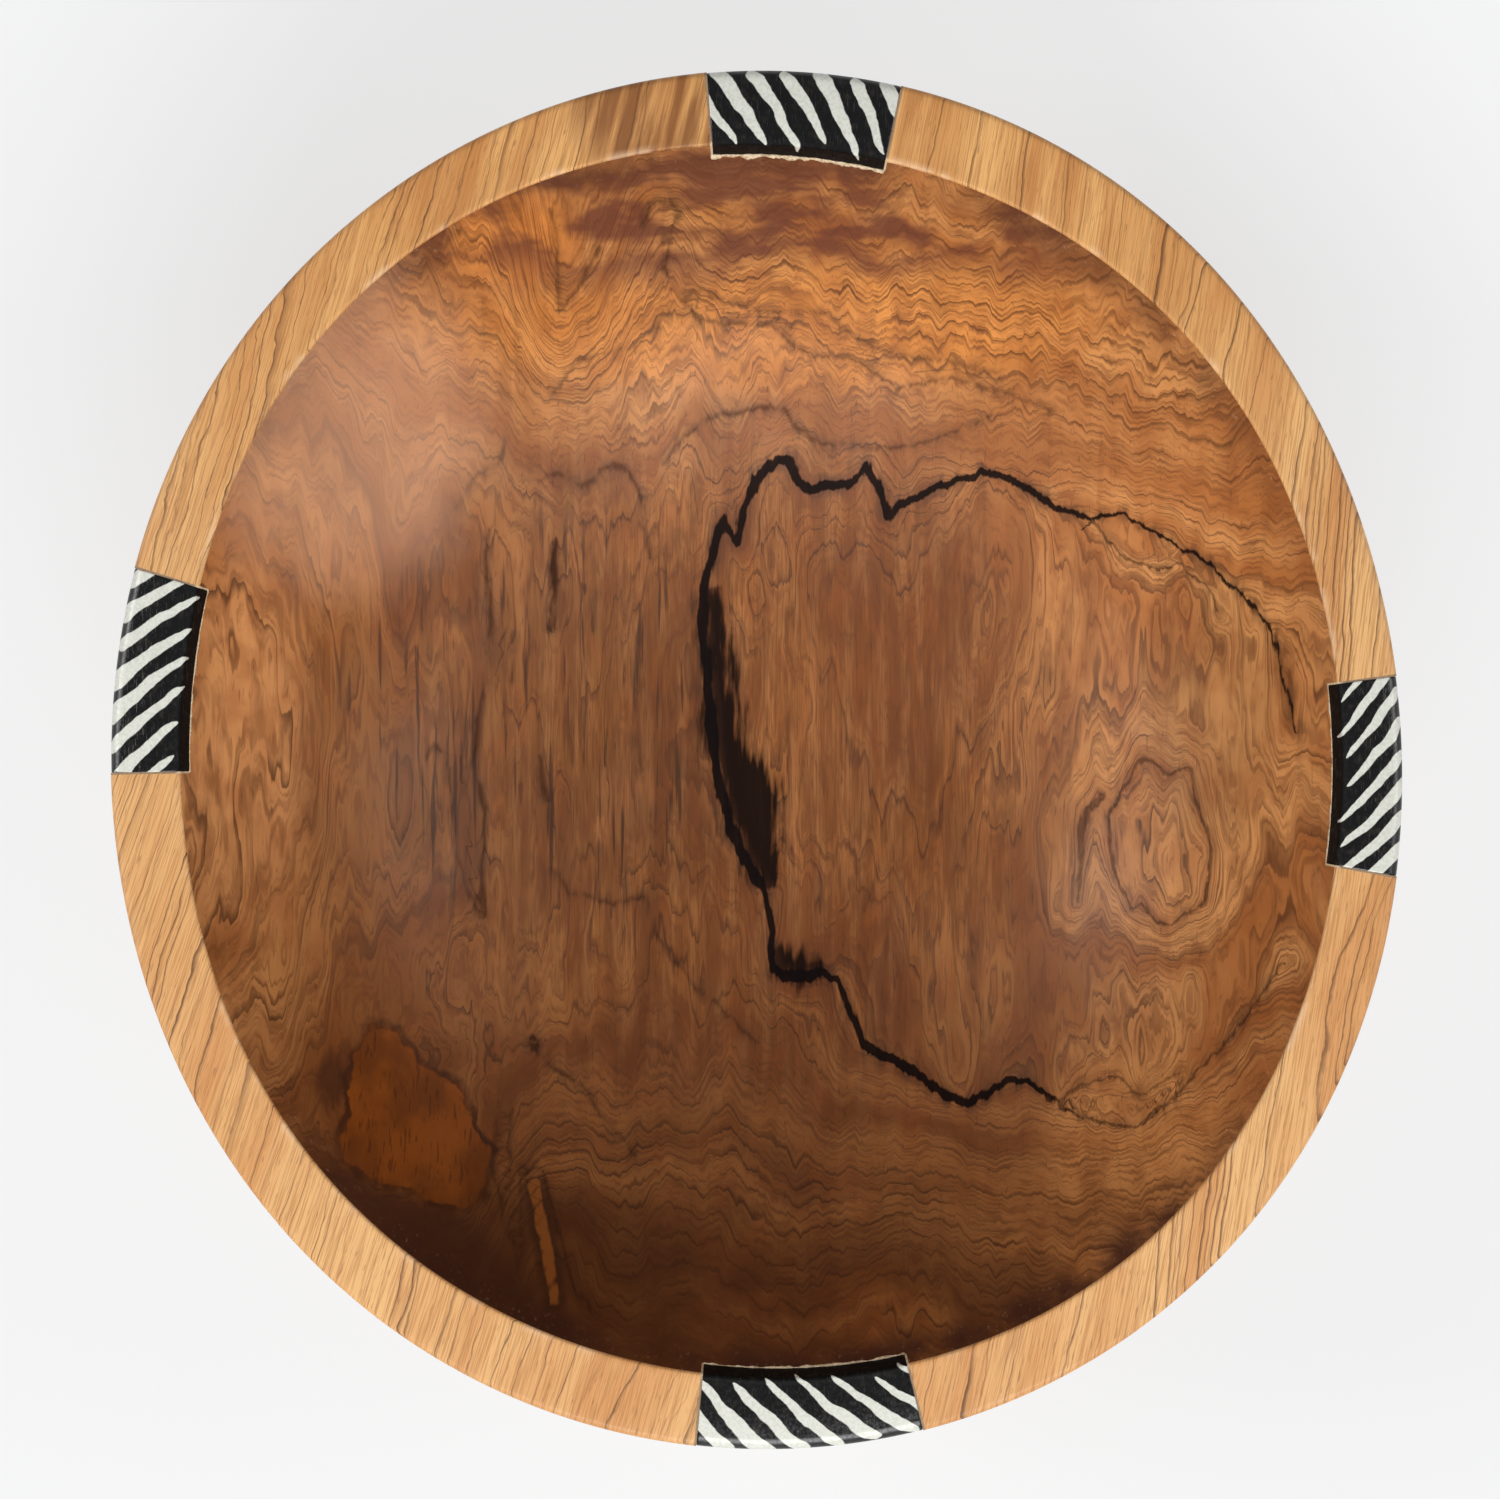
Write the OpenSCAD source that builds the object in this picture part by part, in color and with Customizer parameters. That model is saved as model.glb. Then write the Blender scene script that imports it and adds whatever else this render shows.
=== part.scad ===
// Carved wooden bowl, cut by hand from one block and a little longer along the grain than across it.
// Four short pieces of bone are let into notches in the rim, and each is bedded in a thin pale filler.
// Millimetres, +Z up. The bowl stands on z = 0, and +Y runs along the grain.

/* [Rim outline] */
// Mean radius of the rim's outer edge
rim_r = 148.2; // [130:0.1:170]
// How far the rim bulges along the grain and draws in across it
rim_oval = 4.9; // [0:0.1:8]
// Turn of the rim's long axis away from +Y, in degrees
rim_oval_turn = 3.7; // [-15:0.1:15]
// Height of three soft lobes left by hand carving
rim_lobe = 0.55; // [0:0.05:1.5]
// Direction of one of the lobes, in degrees
rim_lobe_at = -48; // [-60:1:60]
// Height of four soft corners
rim_corner = 0.4; // [0:0.05:1.5]
// Direction of one of the corners, in degrees
rim_corner_at = 52; // [0:1:90]

/* [Mouth outline] */
// Mean radius of the rim's inner edge
mouth_r = 133.1; // [115:0.1:136]
// How far the mouth bulges along the grain and draws in across it
mouth_oval = 4.1; // [0:0.1:6]
// Turn of the mouth's long axis away from +Y, in degrees
mouth_oval_turn = 8.3; // [-15:0.1:15]
// Shift of the mouth towards +X
mouth_shift = 0.5; // [-1:0.1:1]
// Height of the mouth's four soft corners
mouth_corner = 1.0; // [0:0.1:1.5]
// Direction of one of the mouth's corners, in degrees
mouth_corner_at = 40; // [0:1:90]

/* [Wall] */
// Whole height of the bowl
bowl_h = 100; // [80:1:115]
// Depth of the hollow at its middle
hollow_depth = 87; // [60:1:90]
// Radius of the flat foot
foot_r = 56; // [45:1:70]
// Fullness of the outside curve: 2 is an ellipse, less is straighter
outside_fullness = 1.6; // [1.5:0.05:2.4]
// Fullness of the hollow: 2 is an ellipse, more is squarer
hollow_fullness = 2.7; // [2:0.05:3]
// How much the hollow narrows on its way down, as a part of its width
hollow_taper = 0.12; // [0:0.01:0.2]
// Drop of the rim's top face from its inner to its outer edge
rim_drop = 1.2; // [0:0.1:3]
// Rounding of the rim's outer edge
outer_round = 1.6; // [0.5:0.1:4]
// Rounding of the rim's inner edge
inner_round = 0.8; // [0.3:0.1:2]

/* [Inlays] */
// Middle of the right, back, left and front inlay around the rim, in degrees from +X
inlay_at = [-1.3, 86.2, 171.9, 274.3]; // [-20:0.1:300]
// Half the angle that each inlay spans, in the same order
inlay_half = [9.1, 8.3, 9.3, 9.7]; // [6:0.1:14]
// Depth of the notch in the rim
notch_depth = 8; // [5:0.5:12]
// Thickness of the filler under the bone and at its two ends
filler = 0.5; // [0.3:0.1:1]
// Rounding of the bone's outer edge
bone_round = 2.6; // [1:0.1:4]
// Height of the bone's crown over the rim's top face
bone_crown = 0.35; // [0:0.05:1]

/* [Hidden] */

// Which entry of the inlay lists belongs to which side
RIGHT = 0;
BACK = 1;
LEFT = 2;
FRONT = 3;

// Columns round the bowl, rings up the outside and down the hollow, and steps round a rounded edge
columns = 120;
outside_rings = 13;
hollow_rings = 14;
edge_steps = 3;
// Steps along an inlay, and points across its crown
inlay_steps = 12;
crown_points = 6;

rim_low = bowl_h - rim_drop - outer_round;
notch_z = bowl_h - notch_depth;
foot_part = foot_r / rim_r;
// How far the notch cutters reach past the rim
past_rim = 20;
// Angle that the filler takes up at each end of a bone
filler_turn = filler / rim_r * 180 / PI;

// Radius of the rim's outer and inner edge in direction a
function outer_r(a) = rim_r - rim_oval * cos(2 * (a - rim_oval_turn))
    + rim_lobe * cos(3 * (a - rim_lobe_at))
    + rim_corner * cos(4 * (a - rim_corner_at));
function mouth(a) = mouth_r - mouth_oval * cos(2 * (a - mouth_oval_turn))
    + mouth_shift * cos(a)
    + mouth_corner * cos(4 * (a - mouth_corner_at));

// A point on the wall in direction a. p is [side, part, z]: side 1 follows the outer outline and
// side 0 the mouth, and part is the share of that outline's radius.
function wall_point(p, a) =
    let (r = p[1] * (p[0] * outer_r(a) + (1 - p[0]) * mouth(a)))
    [r * cos(a), r * sin(a), p[2]];

// Share of the outer radius at a height on the outside, and of the mouth's at a height in the hollow
function outside_part(z) =
    let (s = pow(max(0, 1 - z / rim_low), outside_fullness / 2))
    foot_part + (1 - foot_part) * pow(sqrt(max(0, 1 - s * s)), 2 / outside_fullness);
function hollow_part(z) =
    let (deep = (bowl_h - inner_round - z) / (hollow_depth - inner_round))
    let (s = pow(deep, hollow_fullness / 2))
    pow(sqrt(max(0, 1 - s * s)), 2 / hollow_fullness) * (1 - hollow_taper * deep);

// The outside from the foot up to the rim's rounded edge
outside = [for (i = [0 : outside_rings])
    let (z = rim_low * (1 - pow(cos(90 * i / outside_rings), 2 / outside_fullness)))
    [1, outside_part(z), z]];

// The rounded outer edge with radius e, and the rounded inner edge
function outer_edge(e) = [for (i = [1 : edge_steps])
    let (t = 90 * i / edge_steps)
    [1, 1 - e / rim_r * (1 - cos(t)), bowl_h - rim_drop - e + e * sin(t)]];
inner_edge = [for (i = [0 : edge_steps])
    let (t = 90 * i / edge_steps)
    [0, 1 + inner_round / mouth_r * (1 - sin(t)), bowl_h - inner_round + inner_round * cos(t)]];

// The hollow from below the inner edge down to the ring round its middle point
hollow = [for (i = [1 : hollow_rings])
    let (deep = pow(sin(90 * i / (hollow_rings + 0.6)), 2 / hollow_fullness))
    let (z = bowl_h - inner_round - (hollow_depth - inner_round) * deep)
    [0, hollow_part(z), z]];

body_rings = concat(outside, outer_edge(outer_round), inner_edge, hollow);

// The outline's box is centred on the Z axis
rim_points = [for (i = [0 : columns - 1]) wall_point([1, 1, 0], 360 * i / columns)];
rim_x = [for (p = rim_points) p[0]];
rim_y = [for (p = rim_points) p[1]];
centring = [-(max(rim_x) + min(rim_x)) / 2, -(max(rim_y) + min(rim_y)) / 2, 0];

// The whole block, before its notches are cut: rings of points joined by four-sided faces
module carved_block() {
    rings = len(body_rings);
    last = rings * columns;
    points = concat(
        [for (p = body_rings) for (c = [0 : columns - 1]) wall_point(p, 360 * c / columns)],
        [[0, 0, bowl_h - hollow_depth]]);
    sides = [for (r = [0 : rings - 2]) for (c = [0 : columns - 1])
        let (n = (c + 1) % columns)
        [r * columns + c, (r + 1) * columns + c, (r + 1) * columns + n, r * columns + n]];
    foot = [for (c = [0 : columns - 1]) c];
    middle = [for (c = [0 : columns - 1])
        [(rings - 1) * columns + c, last, (rings - 1) * columns + (c + 1) % columns]];
    polyhedron(points, concat([foot], sides, middle), convexity = 6);
}

// A wedge from the Z axis out past the rim, standing on z, between two directions
module wedge(from, to, z) {
    reach = rim_r + past_rim;
    translate([0, 0, z])
        linear_extrude(notch_depth + past_rim)
            polygon([[0, 0], reach * [cos(from), sin(from)], reach * [cos(to), sin(to)]]);
}

// Cross-section of what fills a notch from z up to the rim, from the outside over the top
// and back down the hollow. e rounds its outer edge, and crown swells its top face.
function fill_section(z, e, crown) =
    let (low = bowl_h - rim_drop - e)
    let (w0 = 1 - e / (rim_r - mouth_r))
    concat(
        [[1, outside_part(z), z], [1, outside_part(low), low]],
        outer_edge(e),
        [for (i = [1 : crown_points])
            let (t = i / (crown_points + 1))
            [w0 * (1 - t), 1, bowl_h - rim_drop * (1 - t) + crown * 4 * t * (1 - t)]],
        inner_edge,
        [[0, hollow_part(z), z]]);

// Sweeps a cross-section round the rim between two directions. Each end is a fan of triangles
// round the middle of the section.
module sweep(section, from, to) {
    size = len(section);
    first_middle = (inlay_steps + 1) * size;
    ones = [for (p = section) 1];
    middle = ones * section / size;
    points = concat(
        [for (i = [0 : inlay_steps]) for (p = section)
            wall_point(p, from + (to - from) * i / inlay_steps)],
        [wall_point(middle, from), wall_point(middle, to)]);
    sides = [for (i = [0 : inlay_steps - 1]) for (k = [0 : size - 1])
        let (n = (k + 1) % size)
        [i * size + k, i * size + n, (i + 1) * size + n, (i + 1) * size + k]];
    ends = [for (k = [0 : size - 1]) for (far = [0, 1])
        let (n = (k + 1) % size)
        let (ring = far * inlay_steps * size)
        far == 0 ? [first_middle, ring + n, ring + k] : [first_middle + 1, ring + k, ring + n]];
    polyhedron(points, concat(sides, ends), convexity = 4);
}

module bowl_body() {
    color("peru")
        translate(centring)
            difference() {
                carved_block();
                for (i = [RIGHT, BACK, LEFT, FRONT])
                    wedge(inlay_at[i] - inlay_half[i], inlay_at[i] + inlay_half[i], notch_z);
            }
}

module glue_bed(i) {
    from = inlay_at[i] - inlay_half[i];
    to = inlay_at[i] + inlay_half[i];
    color("wheat")
        translate(centring)
            difference() {
                sweep(fill_section(notch_z, outer_round, 0), from, to);
                wedge(from + filler_turn, to - filler_turn, notch_z + filler);
            }
}

module bone_inlay(i) {
    from = inlay_at[i] - inlay_half[i] + filler_turn;
    to = inlay_at[i] + inlay_half[i] - filler_turn;
    color("ivory")
        translate(centring)
            sweep(fill_section(notch_z + filler, bone_round, bone_crown), from, to);
}

bowl_body();
glue_bed(RIGHT);  // glue_bed_right
glue_bed(BACK);  // glue_bed_back
glue_bed(LEFT);  // glue_bed_left
glue_bed(FRONT);  // glue_bed_front
bone_inlay(RIGHT);  // bone_inlay_right
bone_inlay(BACK);  // bone_inlay_back
bone_inlay(LEFT);  // bone_inlay_left
bone_inlay(FRONT);  // bone_inlay_front
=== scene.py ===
# A round wooden bowl, carved by hand from one block, with four pieces of dyed bone let into its rim.
# Metres, +Z up. The bowl stands on z = 0 and the wood's grain runs along +Y.
import math

import bmesh
import bpy
import numpy as np
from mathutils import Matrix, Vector, noise


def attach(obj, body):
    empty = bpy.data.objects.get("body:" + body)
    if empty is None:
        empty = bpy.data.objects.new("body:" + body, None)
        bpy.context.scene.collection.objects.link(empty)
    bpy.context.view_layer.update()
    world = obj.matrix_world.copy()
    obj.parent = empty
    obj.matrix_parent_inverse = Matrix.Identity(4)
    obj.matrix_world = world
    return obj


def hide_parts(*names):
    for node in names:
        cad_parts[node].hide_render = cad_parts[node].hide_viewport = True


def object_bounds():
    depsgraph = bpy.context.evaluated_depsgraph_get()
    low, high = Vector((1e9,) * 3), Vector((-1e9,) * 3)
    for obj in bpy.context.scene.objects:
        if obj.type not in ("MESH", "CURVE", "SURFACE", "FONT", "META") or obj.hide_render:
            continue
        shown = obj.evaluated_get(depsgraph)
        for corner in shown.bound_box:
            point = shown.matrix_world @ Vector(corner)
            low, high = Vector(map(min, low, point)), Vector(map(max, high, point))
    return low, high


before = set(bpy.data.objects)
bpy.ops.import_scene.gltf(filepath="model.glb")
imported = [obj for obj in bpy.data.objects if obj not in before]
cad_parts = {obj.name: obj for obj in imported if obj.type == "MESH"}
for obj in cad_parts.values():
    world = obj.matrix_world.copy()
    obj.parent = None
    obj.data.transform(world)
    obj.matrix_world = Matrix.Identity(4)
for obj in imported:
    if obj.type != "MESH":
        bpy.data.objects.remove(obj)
cad_low, cad_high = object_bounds()


# ---- The carved bowl -------------------------------------------------------------------------
# One block of olive wood, roughed out with an adze, scraped and sanded by hand, then oiled. The rim is a
# broad flat face, sanded paler than the hollow, and four notches are sawn down into it for the bone.
MM = 0.001
bowl_height = cad_high.z
hollow_depth = 87 * MM
foot_radius = 56 * MM
rim_radius = 148.2 * MM
mouth_radius = 133.1 * MM
rim_drop = 1.2 * MM
outer_round = 1.6 * MM
inner_round = 0.8 * MM
outside_fullness = 1.6
hollow_fullness = 2.7
hollow_taper = 0.12
notch_depth = 8 * MM
notch_floor = bowl_height - notch_depth
# Middle and half width of each notch, in degrees from +X
inlay_places = {"right": (-1.3, 9.1), "back": (86.2, 8.3), "left": (171.9, 9.3), "front": (274.3, 9.7)}
# Waves round the rim's outer and inner edge. Each is its height in millimetres in one direction, below
# zero where it draws in, how many go round, and that direction, in degrees from +X.
rim_waves = [(-4.9, 2, 3.7), (0.55, 3, -48), (0.4, 4, 52)]
mouth_waves = [(-4.1, 2, 8.3), (0.5, 1, 0), (1.0, 4, 40)]


def wavy_radius(radius, waves, a):
    """A radius in direction a, with waves added to it."""
    swell = sum(height * math.cos(many * (a - math.radians(at))) for height, many, at in waves)
    return radius + swell * MM


def rim_edge(a):
    """Radius of the rim's outer edge in direction a: an oval with soft lobes and corners."""
    return wavy_radius(rim_radius, rim_waves, a)


def mouth_edge(a):
    """Radius of the rim's inner edge in direction a."""
    return wavy_radius(mouth_radius, mouth_waves, a)


def outline_middle():
    """Middle of the rim outline's box, which the bowl is moved back from so that it is centred."""
    steps = 720
    turns = [math.tau * i / steps for i in range(steps)]
    xs = [rim_edge(a) * math.cos(a) for a in turns]
    ys = [rim_edge(a) * math.sin(a) for a in turns]
    return Vector(((max(xs) + min(xs)) / 2, (max(ys) + min(ys)) / 2, 0))


outline_shift = outline_middle()
rim_low = bowl_height - rim_drop - outer_round


def outside_share(z):
    """Share of the outer radius at height z on the outside."""
    foot = foot_radius / rim_radius
    s = max(0.0, 1 - z / rim_low) ** (outside_fullness / 2)
    return foot + (1 - foot) * math.sqrt(max(0.0, 1 - s * s)) ** (2 / outside_fullness)


def hollow_share(z):
    """Share of the mouth's radius at height z in the hollow."""
    deep = min(1.0, (bowl_height - inner_round - z) / (hollow_depth - inner_round))
    s = deep ** (hollow_fullness / 2)
    return math.sqrt(max(0.0, 1 - s * s)) ** (2 / hollow_fullness) * (1 - hollow_taper * deep)


def outer_edge(e, steps):
    """The rim's outer edge, rounded to radius e, as (side, share, z)."""
    turns = [math.pi / 2 * i / steps for i in range(1, steps + 1)]
    low = bowl_height - rim_drop - e
    return [(1, 1 - e / rim_radius * (1 - math.cos(t)), low + e * math.sin(t)) for t in turns]


def rim_top(e, crown, steps):
    """The rim's top face from an outer edge rounded to e in to the inner edge, swelling by crown."""
    start = 1 - e / (rim_radius - mouth_radius)
    parts = [i / steps for i in range(1, steps)]
    return [(start * (1 - t), 1, bowl_height - rim_drop * (1 - t) + crown * 4 * t * (1 - t)) for t in parts]


def inner_edge(steps):
    """The rim's inner edge, rounded, as (side, share, z)."""
    turns = [math.pi / 2 * i / steps for i in range(steps + 1)]
    e = inner_round
    return [(0, 1 + e / mouth_radius * (1 - math.sin(t)), bowl_height - e + e * math.cos(t)) for t in turns]


def start_section(points, a, closed=False):
    """A bmesh with one chain of points in direction a. Each is (side, share, z): side 1 follows the rim's
    outer edge, side 0 its inner edge, and share is the part of that radius. Both stay on the vertices."""
    bm = bmesh.new()
    side = bm.verts.layers.float.new("side")
    share = bm.verts.layers.float.new("share")
    for s, p, z in points:
        r = p * (s * rim_radius + (1 - s) * mouth_radius)
        v = bm.verts.new((r * math.cos(a), r * math.sin(a), z))
        v[side] = s
        v[share] = p
    bm.verts.ensure_lookup_table()
    for i in range(len(points) - 1):
        bm.edges.new((bm.verts[i], bm.verts[i + 1]))
    if closed:
        bm.edges.new((bm.verts[-1], bm.verts[0]))
    return bm


def fit_to_outline(bm):
    """Moves every point of a round spun shape out to the carved outline."""
    side = bm.verts.layers.float["side"]
    share = bm.verts.layers.float["share"]
    for v in bm.verts:
        a = math.atan2(v.co.y, v.co.x)
        r = v[share] * (v[side] * rim_edge(a) + (1 - v[side]) * mouth_edge(a))
        v.co.x = r * math.cos(a) - outline_shift.x
        v.co.y = r * math.sin(a) - outline_shift.y


def shade_by_angle(bm, sharp_degrees=35):
    """Smooth faces, with sharp edges where the surface turns a corner."""
    for f in bm.faces:
        f.smooth = True
    for e in bm.edges:
        e.smooth = len(e.link_faces) != 2 or e.calc_face_angle() < math.radians(sharp_degrees)


def finish_mesh(bm, name, sharp_degrees=35):
    """Turns a bmesh into an object."""
    shade_by_angle(bm, sharp_degrees)
    mesh = bpy.data.meshes.new(name)
    bm.to_mesh(mesh)
    bm.free()
    made = bpy.data.objects.new(name, mesh)
    bpy.context.scene.collection.objects.link(made)
    return made


def bowl_section():
    """The bowl's wall from the middle of the foot, up the outside, over the rim and down the hollow."""
    foot_rings, outside_rings, hollow_rings = 6, 44, 124
    edge_steps, rim_steps = 4, 8
    section = [(1, foot_radius / rim_radius * i / foot_rings, 0.0) for i in range(foot_rings + 1)]
    for i in range(1, outside_rings + 1):
        z = rim_low * (1 - math.cos(math.pi / 2 * i / outside_rings) ** (2 / outside_fullness))
        section.append((1, outside_share(z), z))
    section += outer_edge(outer_round, edge_steps)
    section += rim_top(outer_round, 0, rim_steps)
    section += inner_edge(edge_steps)
    for i in range(1, hollow_rings):
        deep = math.sin(math.pi / 2 * i / hollow_rings) ** (2 / hollow_fullness)
        z = bowl_height - inner_round - (hollow_depth - inner_round) * deep
        section.append((0, hollow_share(z), z))
    section.append((0, 0, bowl_height - hollow_depth))
    return section


def carve_by_hand(bm):
    """Shallow waves left by the adze and scraper. They are deeper outside than in the hollow, and fade out
    towards the foot and the rim."""
    outside_depth, inside_depth = 0.32 * MM, 0.2 * MM
    foot_fade, rim_fade = 8 * MM, 12 * MM
    long_wave, short_wave = 38, 90
    side = bm.verts.layers.float["side"]
    bm.normal_update()
    for v in bm.verts:
        outside = v[side] > 0.99 and v.co.z < rim_low
        depth = outside_depth if outside else inside_depth
        fade = min(1.0, v.co.z / foot_fade) * min(1.0, max(0.0, (rim_low - v.co.z) / rim_fade))
        wave = noise.noise(v.co * long_wave) + 0.5 * noise.noise(v.co * short_wave)
        v.co -= v.normal * depth * fade * (wave + 0.75)


def wedge_cutter(middle, half, bottom, name):
    """A wedge that cuts away everything over bottom between two directions."""
    near, far = 110 * MM, 170 * MM
    start, end = math.radians(middle - half), math.radians(middle + half)
    bm = bmesh.new()
    corners = [(near, start), (far, start), (far, end), (near, end)]
    base = bm.faces.new([bm.verts.new((r * math.cos(a), r * math.sin(a), bottom)) for r, a in corners])
    lifted = bmesh.ops.extrude_face_region(bm, geom=[base])["geom"]
    raised = [g for g in lifted if isinstance(g, bmesh.types.BMVert)]
    bmesh.ops.translate(bm, verts=raised, vec=(0, 0, 2 * notch_depth))
    bmesh.ops.translate(bm, verts=bm.verts[:], vec=-outline_shift)
    bmesh.ops.recalc_face_normals(bm, faces=bm.faces[:])
    return finish_mesh(bm, name)


def cut_away(piece, cutters):
    """Cuts the cutters out of a piece, then works out afresh which edges are sharp."""
    for cutter in cutters:
        cut = piece.modifiers.new("cut", "BOOLEAN")
        cut.object = cutter
        cut.operation = "DIFFERENCE"
        cut.solver = "EXACT"
    left = bpy.data.meshes.new_from_object(piece.evaluated_get(bpy.context.evaluated_depsgraph_get()))
    piece.modifiers.clear()
    bm = bmesh.new()
    bm.from_mesh(left)
    shade_by_angle(bm)
    bm.to_mesh(piece.data)
    bm.free()
    bpy.data.meshes.remove(left)
    for cutter in cutters:
        bpy.data.objects.remove(cutter)


def spin_bowl(columns):
    """The bowl's whole mesh: its wall spun round, fitted to the outline and carved."""
    bm = start_section(bowl_section(), 0)
    bmesh.ops.spin(bm, geom=bm.verts[:] + bm.edges[:], cent=(0, 0, 0), axis=(0, 0, 1), dvec=(0, 0, 0),
                   angle=math.tau, steps=columns, use_merge=True, use_duplicate=False)
    bmesh.ops.remove_doubles(bm, verts=bm.verts[:], dist=0.002 * MM)
    fit_to_outline(bm)
    bmesh.ops.recalc_face_normals(bm, faces=bm.faces[:])
    carve_by_hand(bm)
    return bm


def mark_hollow(bm):
    """Gives the hollow's faces, from the rim's inner edge down to its floor, the second finish."""
    tiny, under_floor = 0.0001, 5 * MM
    side = bm.verts.layers.float["side"]
    share = bm.verts.layers.float["share"]
    for face in bm.faces:
        in_hollow = all(v[side] < tiny and v[share] < 1 + tiny for v in face.verts)
        face.material_index = 1 if in_hollow and face.calc_center_median().z > under_floor else 0


bowl_mesh = spin_bowl(360)
mark_hollow(bowl_mesh)
bowl = finish_mesh(bowl_mesh, "carved_bowl")
cut_away(bowl, [wedge_cutter(*place, notch_floor, "notch") for place in inlay_places.values()])

# The dark figure in the hollow: chains of (x, y, half width) in millimetres, and how dark each is
dark_figure = [
    (1.0, [(122, 5, 0.2), (117, 29, 0.25), (112, 36, 0.3), (102, 46, 0.3), (91, 53, 0.35), (84, 57, 0.35),
           (78, 56, 0.5), (72, 57.5, 0.7), (68, 59.5, 0.8), (64, 62, 0.9), (59, 65.5, 0.8), (53, 67, 0.8),
           (46, 65, 0.8), (39, 62, 0.9), (34, 60, 0.9), (31, 57, 1.1), (28.5, 64, 0.9), (26, 68.5, 0.8),
           (21, 64, 0.9), (15.5, 64, 1.2), (13, 63, 1.0), (10, 65, 0.9), (7.5, 70, 1.2), (5, 70, 1.3),
           (0, 66, 1.0), (-3, 59, 0.9), (-4.5, 51, 0.9), (-8, 57, 0.8), (-10, 48, 0.9), (-12.5, 41, 1.0),
           (-13, 35, 1.1), (-12, 23, 1.1), (-11, 12, 1.2), (-10, 1, 1.1), (-8, -9, 1.2), (-6, -16, 1.1),
           (-3.5, -22, 1.2), (0, -28, 1.2), (2.5, -32, 0.9), (3.5, -41, 0.8), (4, -49, 1.0), (6, -51, 1.4),
           (12, -51, 1.4), (16, -50, 1.0), (19, -52, 0.8), (22, -59, 0.7), (25, -67, 1.1), (31, -70, 1.2),
           (37, -73, 0.9), (42, -77, 1.0), (48, -80, 1.0), (53, -78, 0.7), (59, -74.5, 0.8),
           (63, -74.5, 0.7), (66, -77, 0.6), (72, -81, 0.3)]),
    (0.6, [(78, 55, 0.3), (86, 46, 0.3), (93, 44, 0.3), (97, 45, 0.25), (104, 39, 0.25), (106, 33, 0.2)]),
    (0.6, [(67, -79, 0.3), (77, -83, 0.3), (87, -84, 0.3), (95, -77, 0.3), (107, -63, 0.25),
           (119, -45, 0.2)]),
    (0.5, [(70, -79, 0.25), (75, -75, 0.25), (83, -73, 0.25), (88, -77, 0.25), (97, -71, 0.2)]),
    (0.55, [(90, 1, 0.3), (95, -4, 0.35), (100, -2, 0.3), (103, -15, 0.3), (105, -21, 0.35), (103, -33, 0.3),
            (96, -38, 0.3), (93, -38, 0.3), (89, -33, 0.3), (87, -35, 0.3), (83, -25, 0.3), (82, -13, 0.4),
            (90, 1, 0.3)]),
    (0.5, [(81, -8, 0.8), (77, -12, 1.0), (76, -18, 0.8), (75, -34, 0.2)]),
]
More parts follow.
